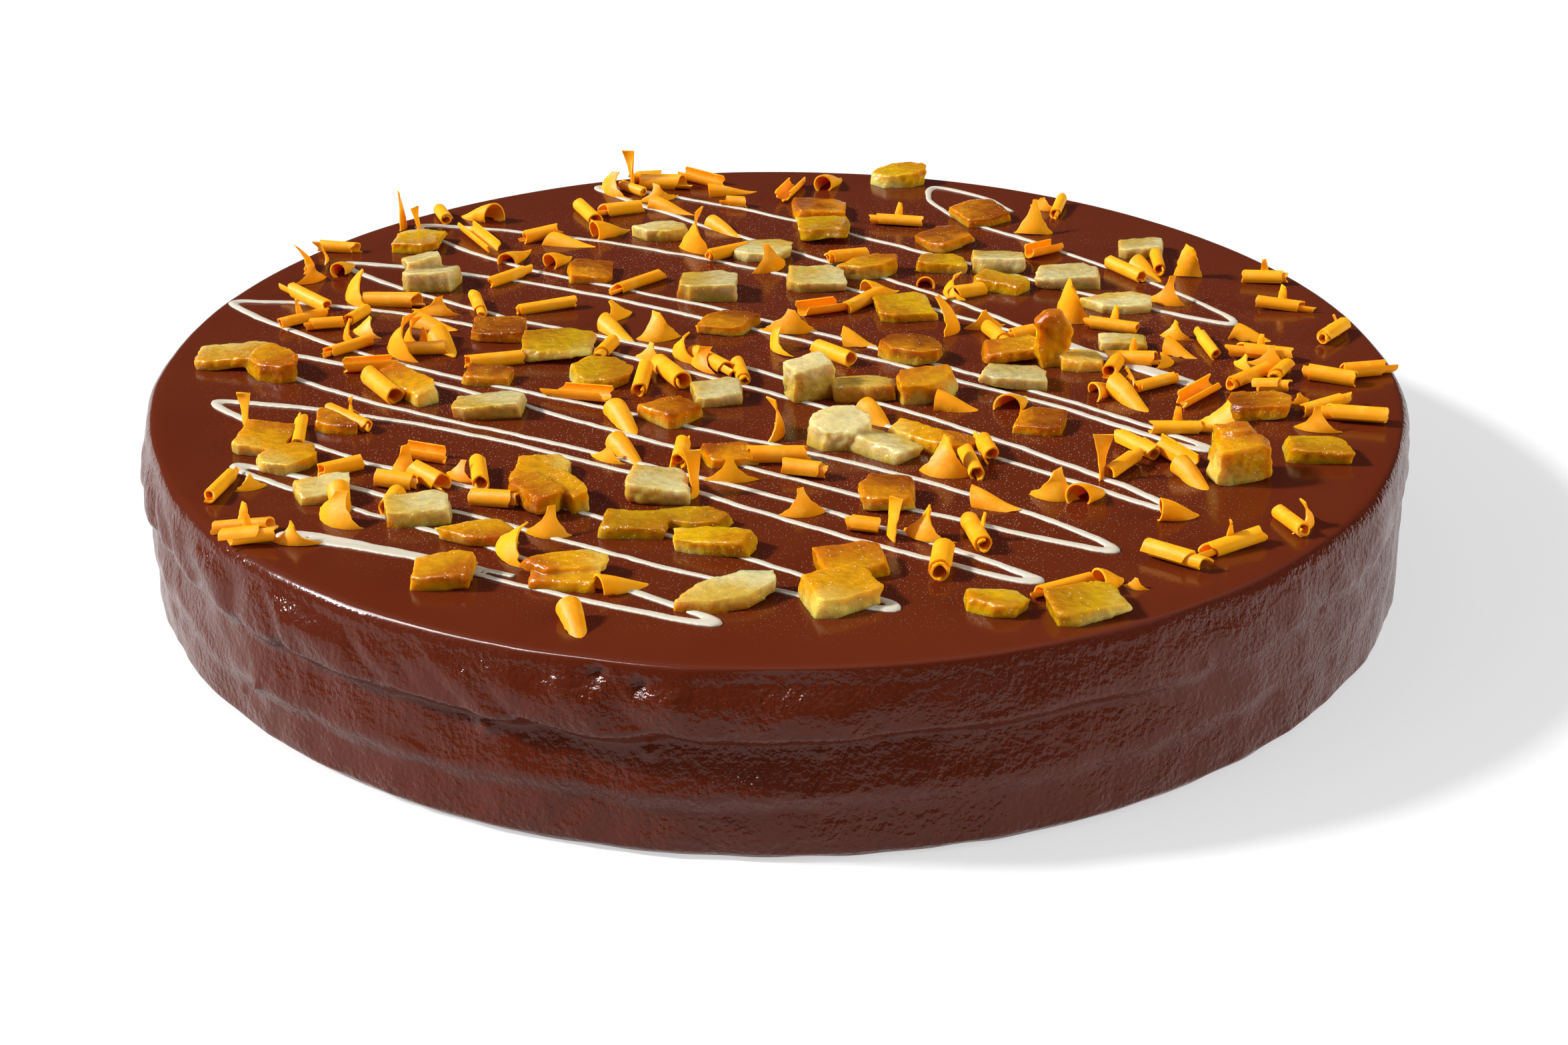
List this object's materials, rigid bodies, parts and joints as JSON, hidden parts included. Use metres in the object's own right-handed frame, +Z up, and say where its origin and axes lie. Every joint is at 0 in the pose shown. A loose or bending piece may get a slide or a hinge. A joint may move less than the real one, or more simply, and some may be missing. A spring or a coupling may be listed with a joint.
{
  "type": "chocolate orange cake",
  "caption": "Round uncut layer cake under dark chocolate glaze, with a zigzag of white chocolate, diced candied orange peel and orange chocolate curls on its flat top.",
  "frame": {"origin": "middle of the flat underside, where the cake rests", "axes": "+Z up through the middle of the cake, -Y towards the viewer in the picture, +X to the right"},
  "size_m": [0.2603, 0.2603, 0.0479],
  "materials": {
    "chocolate_glaze": "dark chocolate glaze, satin on top and glossy on the side",
    "golden_peel": "glossy, translucent golden candied peel",
    "amber_peel": "glossy, translucent amber-brown candied peel",
    "pale_peel": "glossy, pale crystalline candied peel",
    "olive_peel": "glossy, translucent yellow-olive candied peel"
  },
  "bodies": {
    "root": {"glazed_cake": "chocolate_glaze", "golden_peel_1": "golden_peel", "golden_peel_2": "golden_peel", "golden_peel_3": "golden_peel", "golden_peel_4": "golden_peel", "golden_peel_5": "golden_peel", "golden_peel_6": "golden_peel", "golden_peel_7": "golden_peel", "golden_peel_8": "golden_peel", "golden_peel_9": "golden_peel", "golden_peel_10": "golden_peel", "golden_peel_11": "golden_peel", "golden_peel_12": "golden_peel", "golden_peel_13": "golden_peel", "amber_peel_1": "amber_peel", "amber_peel_2": "amber_peel", "amber_peel_3": "amber_peel", "amber_peel_4": "amber_peel", "amber_peel_5": "amber_peel", "amber_peel_6": "amber_peel", "amber_peel_7": "amber_peel", "amber_peel_8": "amber_peel", "amber_peel_9": "amber_peel", "amber_peel_10": "amber_peel", "amber_peel_11": "amber_peel", "amber_peel_12": "amber_peel", "amber_peel_13": "amber_peel", "amber_peel_14": "amber_peel", "pale_peel_1": "pale_peel", "pale_peel_2": "pale_peel", "pale_peel_3": "pale_peel", "pale_peel_4": "pale_peel", "pale_peel_5": "pale_peel", "pale_peel_6": "pale_peel", "pale_peel_7": "pale_peel", "pale_peel_8": "pale_peel", "pale_peel_9": "pale_peel", "pale_peel_10": "pale_peel", "pale_peel_11": "pale_peel", "pale_peel_12": "pale_peel", "pale_peel_13": "pale_peel", "pale_peel_14": "pale_peel", "pale_peel_15": "pale_peel", "pale_peel_16": "pale_peel", "pale_peel_17": "pale_peel", "pale_peel_18": "pale_peel", "pale_peel_19": "pale_peel", "olive_peel_1": "olive_peel", "olive_peel_2": "olive_peel", "olive_peel_3": "olive_peel", "olive_peel_4": "olive_peel", "olive_peel_5": "olive_peel", "olive_peel_6": "olive_peel", "olive_peel_7": "olive_peel", "olive_peel_8": "olive_peel", "olive_peel_9": "olive_peel", "olive_peel_10": "olive_peel", "olive_peel_11": "olive_peel", "olive_peel_12": "olive_peel", "olive_peel_13": "olive_peel"}
  },
  "joints": []
}
